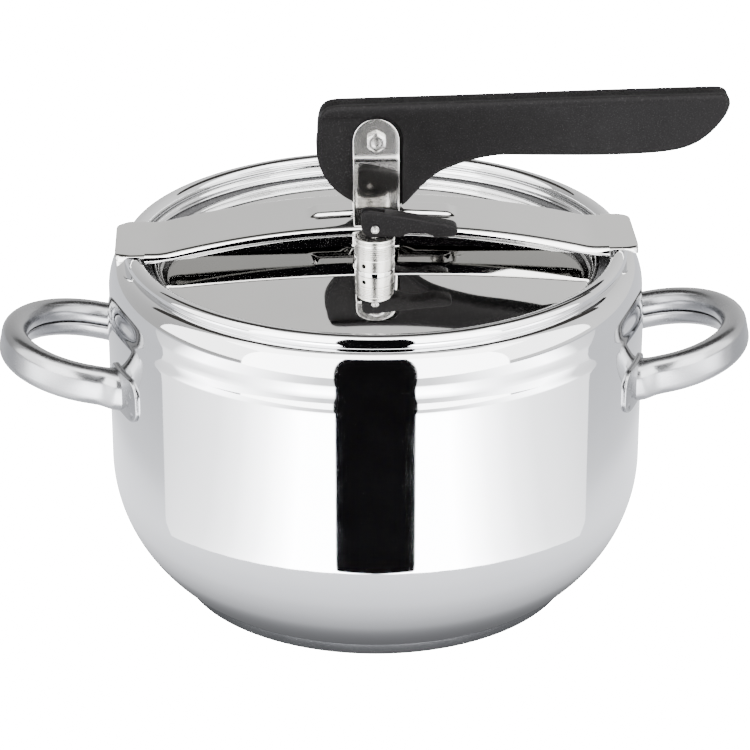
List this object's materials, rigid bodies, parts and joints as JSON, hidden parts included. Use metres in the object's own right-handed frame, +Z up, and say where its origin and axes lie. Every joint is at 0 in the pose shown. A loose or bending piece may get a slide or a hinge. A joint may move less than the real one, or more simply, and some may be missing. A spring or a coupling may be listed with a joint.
{
  "type": "stovetop pressure cooker",
  "caption": "Steel pot with loop side handles and an inner lid drawn up against the rim by a cam lever on a bridge, with a steam valve on the lid.",
  "frame": {"origin": "centre of the flat underside of the base, on the hob", "axes": "+Z up along the pot's axis; +X to the side handle that the closed cam lever points to; the steam valve is on the -Y side"},
  "size_m": [0.3476, 0.2466, 0.235],
  "materials": {
    "polished_steel": "mirror-polished stainless steel",
    "satin_steel": "satin stainless steel",
    "turned_steel": "turned and grooved steel",
    "bolt_steel": "bright plated steel",
    "spring_steel": "spring wire",
    "aluminium_core": "plain, enclosed",
    "black_phenolic": "fine-grained moulded phenolic",
    "rubber_seal": "soft matt",
    "brass_fitting": "turned"
  },
  "bodies": {
    "pot": {"pot_body": "polished_steel", "base_core": "aluminium_core", "base_cap": "satin_steel", "handle_left": "polished_steel", "handle_right": "polished_steel", "bridge_bar": "polished_steel"},
    "lid_set": {"lid_panel": "polished_steel", "lid_gasket": "rubber_seal", "strap_bracket": "polished_steel", "strap_rivets": "bolt_steel", "strap_washers": "rubber_seal", "lever_bolt": "bolt_steel", "lever_nut": "bolt_steel", "valve_nozzle": "brass_fitting", "valve_washer": "rubber_seal", "valve_nut": "brass_fitting", "valve_housing": "turned_steel", "valve_spring": "spring_steel", "safety_housing": "brass_fitting", "safety_nut": "brass_fitting", "safety_washer": "rubber_seal", "safety_spring": "spring_steel"},
    "lever": {"cam_lever": "black_phenolic", "lever_bush": "bolt_steel"},
    "spindle": {"valve_spindle": "bolt_steel"},
    "release": {"release_lever": "black_phenolic", "release_pin": "bolt_steel"},
    "safety": {"safety_plug": "bolt_steel"}
  },
  "joints": [
    {"name": "lid_drop", "type": "slide", "parent": "pot", "child": "lid_set", "axis": [0, 0, -1], "range_m": [0, 0.0064]},
    {"name": "lever_swing", "type": "hinge", "parent": "lid_set", "child": "lever", "pos_m": [0, 0, 0.2153], "axis": [0, -1, 0], "range_deg": [0, 90]},
    {"name": "spindle_lift", "type": "slide", "parent": "lid_set", "child": "spindle", "axis": [0, 0, 1], "range_m": [0, 0.0021], "deforming": ["valve_spring"]},
    {"name": "release_swing", "type": "hinge", "parent": "spindle", "child": "release", "pos_m": [-0.002, -0.035, 0.1856], "axis": [0, -1, 0], "range_deg": [0, 90]},
    {"name": "safety_pop", "type": "slide", "parent": "lid_set", "child": "safety", "axis": [0, 0, 1], "range_m": [0, 0.0025], "stiffness_N_per_m": 400, "springref_m": -0.002, "deforming": ["safety_spring"]}
  ],
  "couplings": [
    {"joint": "lid_drop", "follows": "lever_swing", "m_per_rad": 0.00401},
    {"joint": "spindle_lift", "follows": "release_swing", "m_per_rad": 0.001273}
  ]
}
